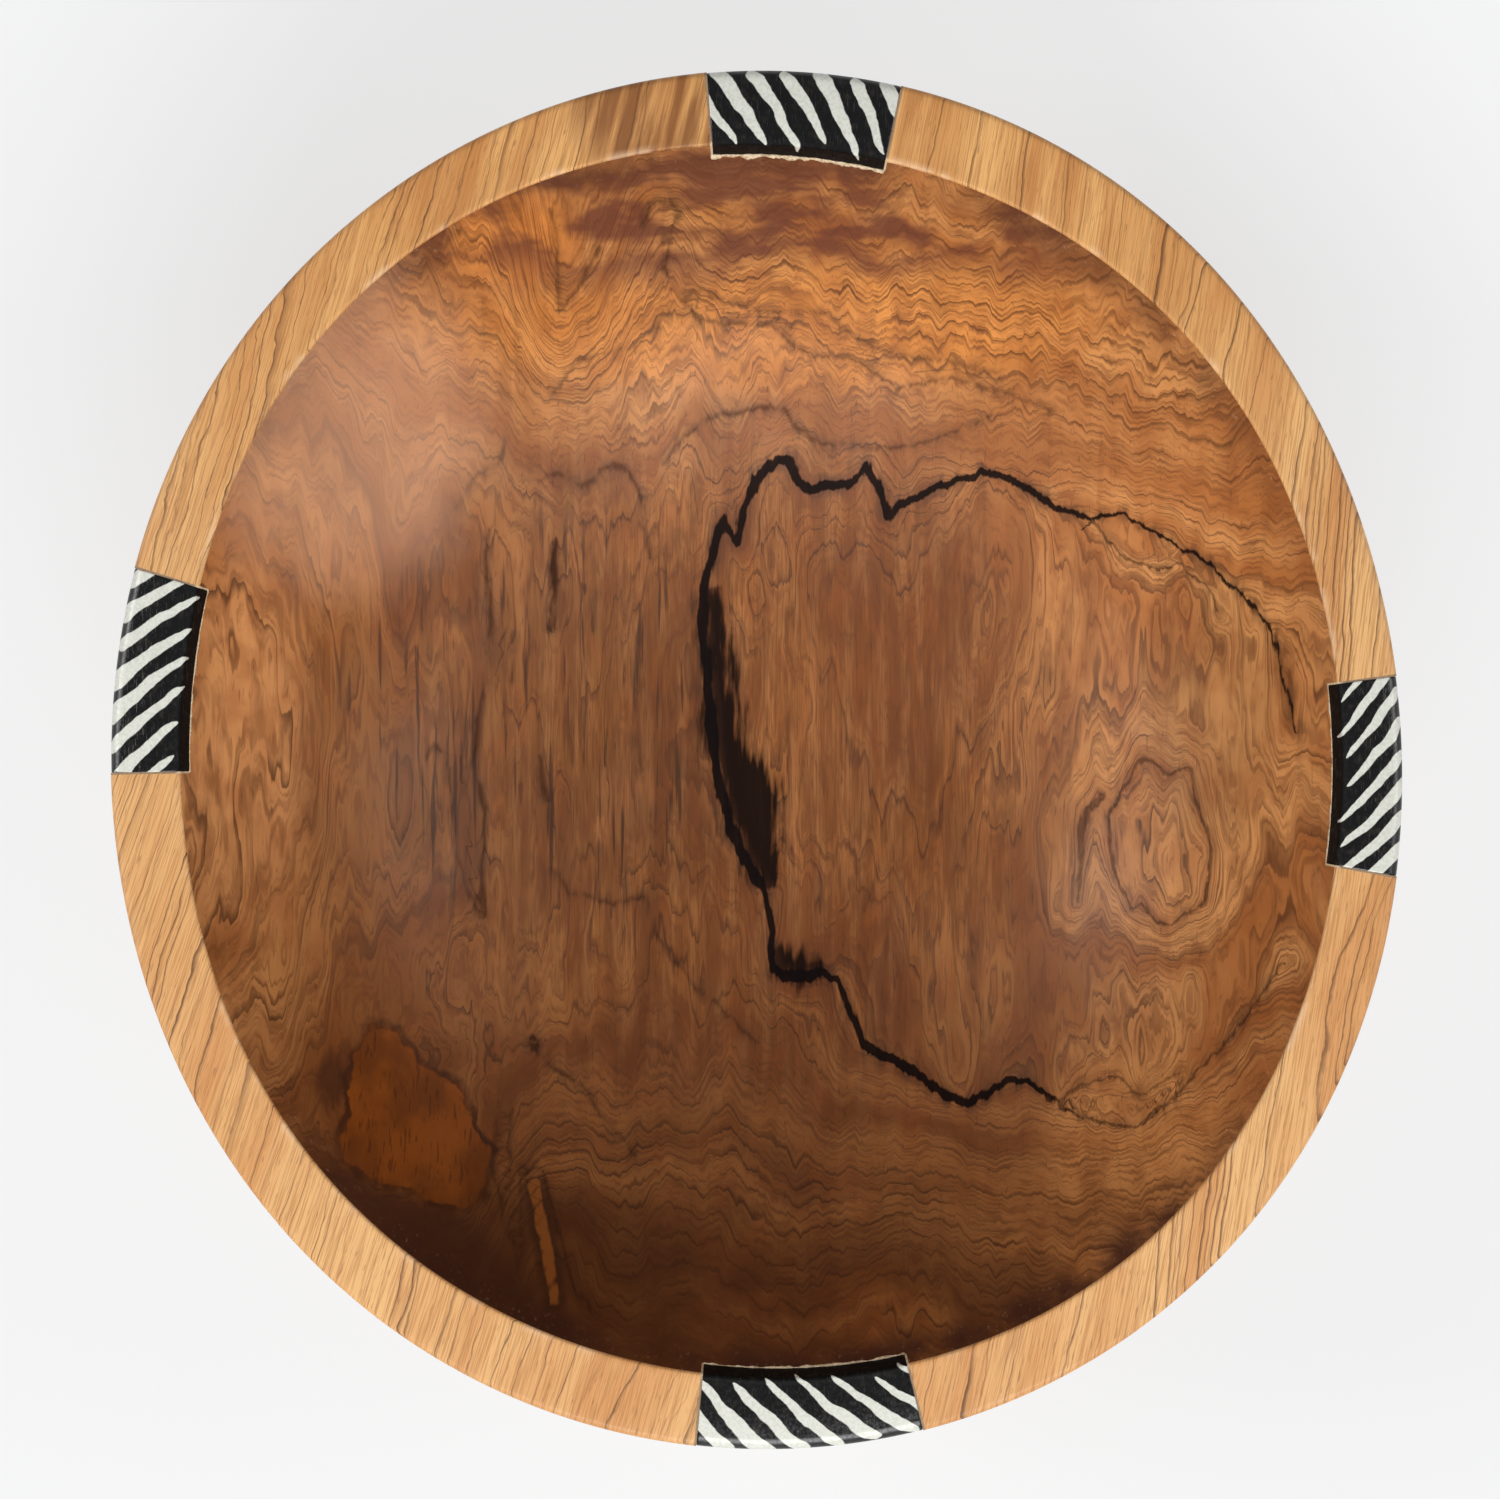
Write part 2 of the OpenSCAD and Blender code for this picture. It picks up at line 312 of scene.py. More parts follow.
# Thinner dark lines, streaks and spots, in the same form
fine_figure = [
    (0.7, [(-63, 54, 0.2), (-63, 42, 0.45), (-62, 32, 0.6), (-63.3, 20, 0.3), (-65.3, 9, 0.6), (-66, -1, 0.7),
           (-63.6, -12, 0.5), (-64.4, -25, 0.4), (-64, -37, 0.7)]),
    (0.6, [(-72, 1, 0.5), (-71, -12, 0.45), (-70.5, -22, 0.5), (-67, -32, 0.3), (-64, -37, 0.6)]),
    (0.9, [(-47.5, 52, 0.4), (-47.4, 42, 0.9), (-48, 30, 0.5)]),
    (0.6, [(-51, 1, 0.5), (-50.3, -4, 0.6), (-49, -10, 0.5)]),
    (0.4, [(-27.6, 24, 0.5), (-28.9, 11, 0.5), (-27.3, -3, 0.4)]),
    (0.5, [(-38, 40, 0.4), (-38.5, 30, 0.5)]),
    (0.5, [(-57, 30, 0.4), (-57.5, 18, 0.5)]),
    (0.55, [(-77, 0, 0.5), (-75, 3.3, 0.7), (-72.5, 1.6, 0.4)]),
    (0.6, [(-50.3, 65, 0.3), (-47, 67, 0.45), (-40.6, 64, 0.5), (-34, 69, 0.6), (-30.7, 68, 0.6),
           (-26.7, 61.5, 0.5), (-25, 47, 0.35)]),
    (0.6, [(-71.3, 57, 0.25), (-66.4, 64.6, 0.35), (-63.2, 67.2, 0.3), (-60.3, 69, 0.4), (-57.4, 75.6, 0.3)]),
    (0.5, [(-48, -25.5, 0.6), (-44, -31, 0.5), (-34, -34, 0.6), (-26, -32, 0.4), (-24.3, -40.4, 0.4),
           (-16, -52, 0.35), (-9.4, -57.6, 0.3), (0.4, -66.5, 0.25)]),
    (0.35, [(22, -19, 0.4), (25.2, -35.5, 0.5), (29.3, -25.6, 0.3)]),
    (0.6, [(-46.5, 123.5, 0.4), (-45.4, 116.7, 0.4), (-45.5, 103, 0.3), (-40.6, 108.3, 0.3),
           (-36.2, 117, 0.4)]),
    (0.6, [(-26.6, 121, 0.3), (-23.7, 126, 0.5), (-19.6, 126.5, 0.5), (-17, 124.5, 0.3), (-19.8, 120, 0.3),
           (-21.3, 112.5, 0.6)]),
    (0.8, [(-22.4, 112.8, 0.5), (-20.5, 112.4, 0.6)]),
    (0.5, [(-48, 84.4, 0.3), (-41, 92.6, 0.3), (-28.5, 95.5, 0.2), (-21.5, 102.2, 0.3), (-15.9, 108.7, 0.3),
           (0.7, 103.6, 0.25), (14.6, 103.5, 0.3), (23, 98, 0.3), (31.4, 94, 0.25), (42.4, 92.5, 0.3),
           (55.5, 89.5, 0.2)]),
    (0.6, [(-17.3, 106.8, 0.2), (-13.1, 101.6, 0.3), (3.5, 100.3, 0.4), (11.9, 94.2, 0.3), (23, 92.8, 0.35),
           (32.9, 86, 0.3), (45.2, 88.4, 0.3), (55.6, 85.5, 0.3), (70, 80, 0.2)]),
    (0.6, [(-22, 69, 0.2), (-17.5, 75.2, 0.4), (-10.4, 80, 0.5), (0.8, 82, 0.5), (6.4, 82, 0.6),
           (9.2, 78, 0.5), (14.8, 73.8, 0.4), (23.2, 73.8, 0.35), (28.8, 72.4, 0.4), (38.6, 73.6, 0.3),
           (55, 80, 0.2)]),
    (0.5, [(-60, -82, 0.25), (-60.6, -91, 0.3), (-58, -103.6, 0.4), (-53.6, -113.7, 0.3)]),
    (0.5, [(-57, -81, 0.25), (-57, -89, 0.3), (-55, -95, 0.4), (-53.7, -103, 0.4), (-53.5, -114.5, 0.3)]),
    (0.6, [(-49.5, -94.4, 0.3), (-46, -107, 0.4), (-41.5, -119.6, 0.4), (-35.3, -124.9, 0.4)]),
    (0.5, [(-53, -65.4, 0.2), (-49, -70.6, 0.5), (-39.6, -76.8, 0.3), (-36.5, -83, 0.4), (-28, -92, 0.3)]),
    (0.8, [(-52, -65, 1.1), (-51, -67.5, 1.2)]),
    (0.7, [(-53.5, -94.6, 0.6), (-50.5, -94.0, 0.7)]),
]
# Where the black has soaked into the wood beside the figure, as (x, y, half width)
black_soak = [[(-11, 40, 1.0), (-10, 30, 2.4), (-9, 20, 3.2), (-8, 8, 3.6), (-5.5, -1, 4.4), (-2.5, -7, 5.8),
               (-0.5, -14, 5.4), (1, -21, 4.2), (2.2, -29, 2.2)],
              [(5, -47, 2.6), (10, -49, 3.0), (15, -49, 2.2)]]
# Outline of the knot at the front left, and the sliver of orange wood beside it
knot_outline = [(-89, -60.4), (-84.3, -61.6), (-80.3, -65.3), (-76.2, -71), (-69, -75), (-66, -80),
                (-64.3, -86), (-61.2, -90), (-61.3, -98), (-64, -102.3), (-69.8, -102), (-74.7, -100),
                (-78.6, -98), (-84.2, -96.4), (-89.8, -92.6), (-94, -87), (-93, -79.6), (-92.7, -68)]
orange_sliver = [(-51.4, -97, 1.5), (-49, -107, 1.5), (-45, -122.6, 1.2)]


def nearest_on_chain(x, y, chain):
    """How far each point is from a chain, the same with a minus sign on its right, and the half width there.
    Past an open end the half width drops, so the line draws out to a point."""
    tip_slope = 1.5
    away = np.full(len(x), np.inf)
    signed, width = np.zeros(len(x)), np.zeros(len(x))
    steps = [(x1 - x0, y1 - y0) for (x0, y0, _), (x1, y1, _) in zip(chain, chain[1:])]
    normals = [(-dy / math.hypot(dx, dy), dx / math.hypot(dx, dy)) for dx, dy in steps]
    last = len(steps) - 1
    for i, (dx, dy) in enumerate(steps):
        x0, y0, w0 = chain[i]
        w1 = chain[i + 1][2]
        t = ((x - x0) * dx + (y - y0) * dy) / (dx * dx + dy * dy)
        on = np.clip(t, 0, 1)
        from_x, from_y = x - x0 - on * dx, y - y0 - on * dy
        far = np.hypot(from_x, from_y)
        # Past a corner, the side is taken from the two normals that meet there
        here, before, after = normals[i], normals[max(i - 1, 0)], normals[min(i + 1, last)]
        nx = here[0] + np.where(t < 0, before[0], 0) + np.where(t > 1, after[0], 0)
        ny = here[1] + np.where(t < 0, before[1], 0) + np.where(t > 1, after[1], 0)
        side = np.where(from_x * nx + from_y * ny < 0, -1.0, 1.0)
        past_end = (np.maximum(-t, 0) if i == 0 else 0) + (np.maximum(t - 1, 0) if i == last else 0)
        closer = far < away
        away = np.where(closer, far, away)
        signed = np.where(closer, side * far, signed)
        width = np.where(closer, w0 + (w1 - w0) * on - tip_slope * past_end * math.hypot(dx, dy), width)
    return away, signed, width


def depth_in_loop(x, y, loop):
    """How far each point is inside a closed loop, and below zero outside it."""
    closed = loop + loop[:1]
    away = nearest_on_chain(x, y, [(*point, 0.0) for point in closed])[0]
    inside = np.zeros(len(x), bool)
    for (x0, y0), (x1, y1) in zip(closed, closed[1:]):
        crossing = (y0 > y) != (y1 > y)
        inside ^= crossing & (x < x0 + (y - y0) * (x1 - x0) / (y1 - y0))
    return np.where(inside, away, -away)


def draw_figure(piece):
    """Stores on the vertices, in millimetres, where each lies in the hollow's figure:
    offset, half, dark and soft: how far it is from the nearest line, and the line's half width, darkness and
    softness there, with a half width below zero where no line is near;
    soak, sliver and knot: how deep it is inside each of those, and below zero outside;
    edge: how far it is outside the mouth; echo: 1 on a dark line, fading away from it."""
    line_reach, no_line, echo_reach = 3.0, -6.0, 13.0
    mesh = piece.data
    co = np.empty(len(mesh.vertices) * 3)
    mesh.vertices.foreach_get("co", co)
    x, y = co[0::3] / MM, co[1::3] / MM
    best, closest = np.full(len(x), np.inf), np.full(len(x), np.inf)
    offset, half, dark, soft = (np.zeros(len(x)) for _ in range(4))
    for i, (darkness, chain) in enumerate(dark_figure + fine_figure):
        away, signed, width = nearest_on_chain(x, y, chain)
        is_fine = i >= len(dark_figure)
        past = away - width
        take = past < best
        best = np.where(take, past, best)
        offset = np.where(take, signed, offset)
        half = np.where(take, np.where(past > line_reach, no_line, width), half)
        dark = np.where(take, darkness, dark)
        soft = np.where(take, float(is_fine), soft)
        if not is_fine:
            closest = np.minimum(closest, away / darkness)
    soaks = [nearest_on_chain(x, y, chain) for chain in black_soak]
    soak = np.maximum.reduce([width - away for away, _, width in soaks])
    away, _, width = nearest_on_chain(x, y, orange_sliver)
    from_x, from_y = x + outline_shift.x / MM, y + outline_shift.y / MM
    mouth = np.array([mouth_edge(a) for a in np.arctan2(from_y, from_x)]) / MM
    stored = {"offset": offset, "half": half, "dark": dark, "soft": soft,
              "soak": soak, "sliver": width - away, "knot": depth_in_loop(x, y, knot_outline),
              "edge": np.hypot(from_x, from_y) - mouth, "echo": np.exp(-closest / echo_reach)}
    for name, values in stored.items():
        layer = mesh.attributes.new(name, "FLOAT", "POINT")
        layer.data.foreach_set("value", values.astype(np.float32))


draw_figure(bowl)


class Finish:
    """One surface finish, built up as a tree of shader nodes. Lengths in it are in millimetres."""

    def __init__(self, name, roughness):
        self.material = bpy.data.materials.new(name)
        self.material.use_nodes = True
        self.tree = self.material.node_tree
        self.shader = self.tree.nodes["Principled BSDF"]
        self.shader.inputs["Roughness"].default_value = roughness
        metres = self.add("TexCoord", out="Object")
        self.place = self.add("VectorMath", {0: metres, 1: (1 / MM,) * 3}, operation="MULTIPLY")
        split = self.tree.nodes.new("ShaderNodeSeparateXYZ")
        self.put(split.inputs[0], self.place)
        self.x, self.y, self.z = split.outputs

    def add(self, kind, inputs=None, out=0, **settings):
        """Adds a node, sets it up and returns one of its outputs."""
        made = self.tree.nodes.new("ShaderNode" + kind)
        for name, value in settings.items():
            setattr(made, name, value)
        for socket, value in (inputs or {}).items():
            self.put(made.inputs[socket], value)
        return made.outputs[out]

    def put(self, socket, value):
        """Sets a socket to a plain value, or links it to a node's output."""
        if isinstance(value, bpy.types.NodeSocket):
            self.tree.links.new(value, socket)
        else:
            socket.default_value = value

    def sum(self, operation, *values):
        """One step of arithmetic."""
        return self.add("Math", dict(enumerate(values)), operation=operation)

    def stored(self, name):
        """A number stored on the piece's vertices."""
        return self.add("Attribute", out="Fac", attribute_name=name)

    def cloud(self, place, size, detail=2.0, seed=0.0):
        """Soft noise whose blobs are about size across, from 0 to 1 with its middle at 0.5."""
        shift = (seed, seed * 0.7, -seed)
        moved = self.add("VectorMath", {0: place, 1: tuple(1 / s for s in size), 2: shift},
                         operation="MULTIPLY_ADD")
        return self.add("TexNoise", {"Vector": moved, "Scale": 1.0, "Detail": detail, "Roughness": 0.5})

    def line_cloud(self, value, size, detail=1.0):
        """Soft noise along one value."""
        scaled = self.sum("DIVIDE", value, size)
        return self.add("TexNoise", {"W": scaled, "Scale": 1.0, "Detail": detail}, noise_dimensions="1D")

    def chance(self, value):
        """A random number from 0 to 1 for each whole value."""
        return self.add("TexWhiteNoise", {"W": value}, noise_dimensions="1D")

    def rise(self, value, start, end, low=0.0, high=1.0):
        """Goes smoothly from low to high while value goes from start to end."""
        return self.add("MapRange", {"Value": value, "From Min": start, "From Max": end, "To Min": low,
                                     "To Max": high}, interpolation_type="SMOOTHSTEP")

    def colour(self, value):
        """A colour with its alpha, unless it is already a node's output."""
        return value if isinstance(value, bpy.types.NodeSocket) else (*value, 1)

    def blend(self, part, first, second):
        """Blends from the first colour to the second as part goes from 0 to 1."""
        return self.add("Mix", {0: part, 6: self.colour(first), 7: self.colour(second)}, out=2,
                        data_type="RGBA")

    def product(self, first, *others):
        """Several values multiplied together."""
        for other in others:
            first = self.sum("MULTIPLY", first, other)
        return first

    def stain(self, surface, colour, *parts):
        """Lays a colour over a surface, as strongly as the product of the parts."""
        return self.blend(self.product(*parts), surface, colour)

    def patch(self, middle, size, fuzz=0.0):
        """How far a place is from an oval patch, seen from above: 0 at its middle, 1 on the oval, and rising
        with the square of the distance. Fuzz is added to make the edge uneven."""
        across = self.sum("DIVIDE", self.sum("SUBTRACT", self.x, middle[0]), size[0])
        along = self.sum("DIVIDE", self.sum("SUBTRACT", self.y, middle[1]), size[1])
        far = self.sum("ADD", self.sum("MULTIPLY", across, across), self.sum("MULTIPLY", along, along))
        return self.sum("ADD", far, fuzz)

    def inside_patch(self, middle, size, full, gone, strength=1.0, fuzz=0.0):
        """Strength inside a patch, dropping to 0 as the patch's distance goes from full to gone."""
        return self.rise(self.patch(middle, size, fuzz), full, gone, strength, 0.0)


def sway(f, value, cloud, amount):
    """Adds a cloud to a value, swinging it about amount either way."""
    return f.sum("MULTIPLY_ADD", f.sum("SUBTRACT", cloud, 0.5), amount * 4, value)


def growth_lines(f, layers, spacing, wander, keep, width):
    """Thin dark lines between growth layers: sharp on one side and fading on the other, at uneven distances.
    Only the layers whose chance is over keep have a line."""
    uneven = f.line_cloud(layers, spacing * 3.3)
    count = f.sum("ADD", f.sum("DIVIDE", layers, spacing), f.sum("MULTIPLY", uneven, wander))
    which = f.sum("FLOOR", count)
    into = f.sum("FRACT", count)
    strong = f.rise(f.chance(which), keep, keep + 0.55)
    fade = f.sum("MULTIPLY_ADD", f.chance(f.sum("ADD", which, 57.3)), width, width * 0.5)
    tail = f.rise(into, 0.0, fade, 1.0, 0.0)
    start = f.rise(into, 0.0, 0.045)
    return f.product(tail, start, strong)


def bend_layers(f, place, climb, knot_fuzz):
    """The growth layers in the hollow: how far each place is from the pith, which lies over the hollow and
    along +Y, with bulges round the knot, the swirls and the dark lines, and a sway along the grain."""
    pith_x, pith_height = 10.0, 190.0
    across = f.sum("POWER", f.sum("SUBTRACT", f.x, pith_x), 2.0)
    below = f.sum("POWER", f.sum("SUBTRACT", climb, pith_height), 2.0)
    layers = f.sum("SQRT", f.sum("ADD", across, below))
    bulges = [(f.patch((-78, -82), (16, 19), knot_fuzz), 8.0), (f.patch((-43, 108), (9, 22)), -14.0),
              (f.patch((-21, 121), (7, 12)), 7.0), (f.patch((-49, -108), (11, 24)), -13.0),
              (f.patch((93, -18), (17, 26)), 4.5), (f.patch((-112, 27), (20, 40)), 6.0)]
    for far, swell in bulges:
        bulge = f.sum("EXPONENT", f.sum("MULTIPLY", far, -0.8))
        layers = f.sum("MULTIPLY_ADD", bulge, swell, layers)
    layers = f.sum("MULTIPLY_ADD", f.stored("echo"), 10.0, layers)
    layers = sway(f, layers, f.cloud(place, (80, 130, 60), 1.0), 6.0)
    layers = sway(f, layers, f.cloud(place, (17, 60, 40), 2.0, 3.1), 3.2)
    return sway(f, layers, f.cloud(place, (4.2, 34, 14), 3.0, 7.7), 1.15)


def tint_heartwood(f, place, layers):
    """The heartwood's broad tones: paler towards the two sides, where the cut nears the sapwood, with warm
    and shaded patches."""
    tone = f.sum("MULTIPLY_ADD", f.line_cloud(layers, 7.0, 2.0), 0.6,
                 f.sum("MULTIPLY", f.cloud(place, (34, 70, 50), 2.0, 5.0), 0.4))
    side = f.sum("MAXIMUM", f.rise(f.x, 40.0, 112.0), f.rise(f.x, -92.0, -122.0))
    # Paler up the back wall as well: painted light where that wall faces the front window
    pale = f.sum("MAXIMUM", side, f.sum("MULTIPLY", f.rise(f.y, 48.0, 100.0), 0.8))
    light = f.blend(pale, (0.36, 0.138, 0.038), (0.66, 0.30, 0.10))
    deep = f.blend(pale, (0.185, 0.058, 0.014), (0.42, 0.15, 0.04))
    wood = f.blend(f.rise(tone, 0.38, 0.62), light, deep)
    warm_patches = [((5, 99), (75, 14), 0.55, (0.68, 0.245, 0.043)),
                    ((76, 62), (32, 26), 0.14, (0.70, 0.31, 0.12)),
                    ((-80, -52), (24, 18), 0.30, (0.40, 0.16, 0.05)),
                    ((-58, 118), (17, 10), 0.6, (0.74, 0.25, 0.045)),
                    ((-116, 5), (15, 42), 0.4, (0.86, 0.42, 0.17)),
                    ((90, -88), (24, 22), 0.65, (0.68, 0.29, 0.09)),
                    ((60, -112), (30, 14), 0.5, (0.50, 0.20, 0.06))]
    for middle, size, strength, colour in warm_patches:
        wood = f.stain(wood, colour, f.inside_patch(middle, size, 0.3, 1.4, strength))
    shaded_patches = [((-44, 2), (46, 46), 0.32), ((104, 10), (16, 32), 0.30),
                      ((-90, 0), (18, 40), 0.24), ((-50, 62), (26, 14), 0.16)]
    for middle, size, strength in shaded_patches:
        wood = f.stain(wood, (0.02, 0.01, 0.005), f.inside_patch(middle, size, 0.3, 1.4, strength))
    return wood


def add_grain(f, wood, place, layers, flat, fibre, pores):
    """Bands, fibres, dashes, growth lines, dark streaks and pores, from the softest to the sharpest."""
    dark_bands = f.rise(f.cloud(place, (4.4, 40, 20), 3.0, 91.0), 0.4, 0.62, 0.0, 0.4)
    pale_bands = f.rise(f.cloud(place, (3.6, 34, 20), 3.0, 97.0), 0.42, 0.64, 0.0, 0.24)
    wood = f.stain(wood, (0.11, 0.036, 0.011), dark_bands, flat)
    wood = f.stain(wood, (0.50, 0.23, 0.085), pale_bands, flat)
    wood = f.stain(wood, (0.13, 0.042, 0.012), f.rise(fibre, 0.42, 0.66, 0.0, 0.5))
    along_layers = f.add("CombineXYZ", {0: f.sum("DIVIDE", layers, 0.45), 1: f.sum("DIVIDE", f.x, 5.0),
                                        2: f.sum("DIVIDE", f.y, 16.0)})
    dashes = f.cloud(along_layers, (1, 1, 1), 2.0, 6.0)
    wood = f.stain(wood, (0.15, 0.045, 0.014), f.rise(dashes, 0.45, 0.68, 0.0, 0.5))
    fine_lines = growth_lines(f, layers, 0.75, 1.0, 0.2, 0.55)
    fine_gaps = f.rise(f.cloud(place, (10, 16, 14), 2.0, 17.0), 0.35, 0.6)
    wood = f.stain(wood, (0.10, 0.033, 0.013), fine_lines, fine_gaps, 0.6)
    lines = growth_lines(f, layers, 2.1, 2.0, 0.25, 0.26)
    gaps = f.rise(f.cloud(place, (14, 26, 18), 2.0, 11.0), 0.34, 0.56, 0.3, 1.0)
    wood = f.stain(wood, (0.055, 0.019, 0.009), lines, gaps, 0.8)
    wood = f.stain(wood, (0.028, 0.011, 0.006), growth_lines(f, layers, 5.6, 1.6, 0.3, 0.13), 0.92)
    streaks = f.rise(f.cloud(place, (1.7, 34, 14), 3.0, 21.0), 0.58, 0.67)
    streak_area = f.rise(f.patch((-48, 8), (52, 50)), 0.5, 1.3, 1.0, 0.15)
    wood = f.stain(wood, (0.045, 0.017, 0.008), streaks, streak_area, 0.75)
    return f.stain(wood, (0.05, 0.018, 0.008), pores, 0.35)


def add_knot(f, wood, place, mottle, knot_fuzz):
    """The orange knot at the front left, with its dark border and the stains round it."""
    in_knot = sway(f, f.stored("knot"), f.cloud(place, (5, 5, 5), 4.0, 33.0), 1.3)
    knot = f.rise(in_knot, -0.4, 0.5)
    tone = f.rise(f.cloud(place, (9, 12, 9), 4.0, 13.0), 0.35, 0.65)
    wood = f.stain(wood, f.blend(tone, (0.30, 0.078, 0.009), (0.17, 0.045, 0.007)), knot, 0.88)
    ticks = f.rise(f.cloud(place, (0.7, 5, 4), 2.0, 37.0), 0.60, 0.66)
    wood = f.stain(wood, (0.05, 0.014, 0.006), ticks, knot, 0.5)
    border = f.product(f.rise(in_knot, -1.5, -0.3), f.rise(in_knot, 0.3, 0.9, 1.0, 0.0))
    wood = f.stain(wood, (0.035, 0.013, 0.008), border, f.rise(mottle, 0.35, 0.6, 0.35, 0.8))
    front_left = f.rise(f.sum("ADD", f.x, f.y), -174.0, -164.0, 1.0, 0.0)
    past_knot = f.product(front_left, f.rise(in_knot, -0.3, -1.6), f.rise(f.y, -80.0, -93.0))
    wood = f.stain(wood, (0.045, 0.017, 0.012), past_knot, 0.7)
    smudge = f.inside_patch((-96.5, -73), (3.4, 7.5), 0.2, 1.3, 0.6, f.sum("MULTIPLY", knot_fuzz, 0.5))
    return f.stain(wood, (0.05, 0.018, 0.011), smudge)


def add_edge_stains_and_shade(f, wood, place):
    """Dark stains on the back wall; darker wood and painted shade on the front wall and under the rim; pale
    scuffs along its inner edge.
    """
    edge = f.stored("edge")
    back_stain = f.rise(f.cloud(place, (22, 8, 9), 3.0, 41.0), 0.40, 0.58)
    wood = f.stain(wood, (0.12, 0.036, 0.022), back_stain, f.rise(f.y, 104.0, 118.0), 0.85)
    # The front wall is made darker, most at its front left: partly darker wood, partly painted shade where it
    # faces away from the front window
    front_cloud = f.rise(f.cloud(place, (30, 14, 14), 3.0, 49.0), 0.25, 0.6)
    front_shade_and_tone = f.product(f.rise(f.y, -84.0, -122.0), front_cloud)
    front_left = f.inside_patch((-50, -115), (46, 17), 0.4, 1.5)
    wood = f.stain(wood, (0.05, 0.016, 0.007), f.sum("MAXIMUM", front_shade_and_tone, front_left), 0.62)
    # Painted shade in a band just under the rim, full on the front wall and half on the back, mixed with a
    # dark stain
    under_rim_shade_and_stain = f.product(f.rise(edge, -6.0, -1.0), f.rise(f.cloud(place, (12, 12, 12), 3.0, 44.0), 0.3, 0.6))
    front_and_back = f.sum("MULTIPLY_ADD", f.rise(f.y, 40.0, 90.0), 0.5, f.rise(f.y, -60.0, -120.0))
    wood = f.stain(wood, (0.055, 0.018, 0.012), under_rim_shade_and_stain, front_and_back)
    scuffs = f.rise(f.cloud(f.place, (0.7, 2.2, 2.2), 2.0, 47.0), 0.62, 0.76)
    return f.stain(wood, (0.62, 0.42, 0.27), scuffs, f.rise(edge, -5.0, -0.5), 0.3)


def add_figure(f, wood, place):
    """The orange sliver, the black soaked into the wood and the dark lines, ragged along the grain. The fine
    lines are browner, softer and broken up. Returns the wood, and how black it is."""
    sliver = sway(f, f.stored("sliver"), f.cloud(place, (3, 6, 6), 3.0, 35.0), 0.3)
    wood = f.stain(wood, (0.03, 0.012, 0.007), f.rise(sliver, -2.2, -0.2, 0.0, 0.6))
    wood = f.stain(wood, (0.31, 0.10, 0.02), f.rise(sliver, -0.1, 0.5, 0.0, 0.9))
    soak = sway(f, f.stored("soak"), f.cloud(place, (1.6, 13, 8), 3.0, 57.0), 3.2)
    soaked = f.rise(soak, -3.2, 1.2, 0.0, 0.975)
    wood = f.stain(wood, (0.009, 0.005, 0.004), soaked)

    ragged = f.cloud(place, (2.2, 8, 5), 4.0, 51.0)
    offset = sway(f, f.stored("offset"), ragged, 0.75)
    past = f.sum("SUBTRACT", f.sum("ABSOLUTE", offset), f.stored("half"))
    past = sway(f, past, f.cloud(place, (0.9, 5, 3), 2.0, 61.0), 0.22)
    soft = f.stored("soft")
    gaps = f.rise(f.cloud(place, (2.6, 11, 7), 3.0, 63.0), 0.32, 0.54, 0.3, 1.0)
    unbroken = f.sum("MULTIPLY_ADD", soft, f.sum("SUBTRACT", gaps, 1.0), 1.0)
    strength = f.product(f.stored("dark"), unbroken)
    fade = f.sum("MULTIPLY_ADD", soft, 0.5, 0.3)
    line = f.product(f.rise(past, f.sum("MULTIPLY", fade, -0.8), fade, 1.0, 0.0), strength)
    halo = f.product(f.rise(past, 0.0, 2.6, 1.0, 0.0), f.rise(ragged, 0.35, 0.65), strength)
    wood = f.stain(wood, (0.05, 0.02, 0.01), halo, 0.6)
    ink = f.blend(soft, (0.006, 0.004, 0.004), (0.03, 0.012, 0.007))
    return f.stain(wood, ink, line, 0.96), f.sum("MAXIMUM", soaked, line)


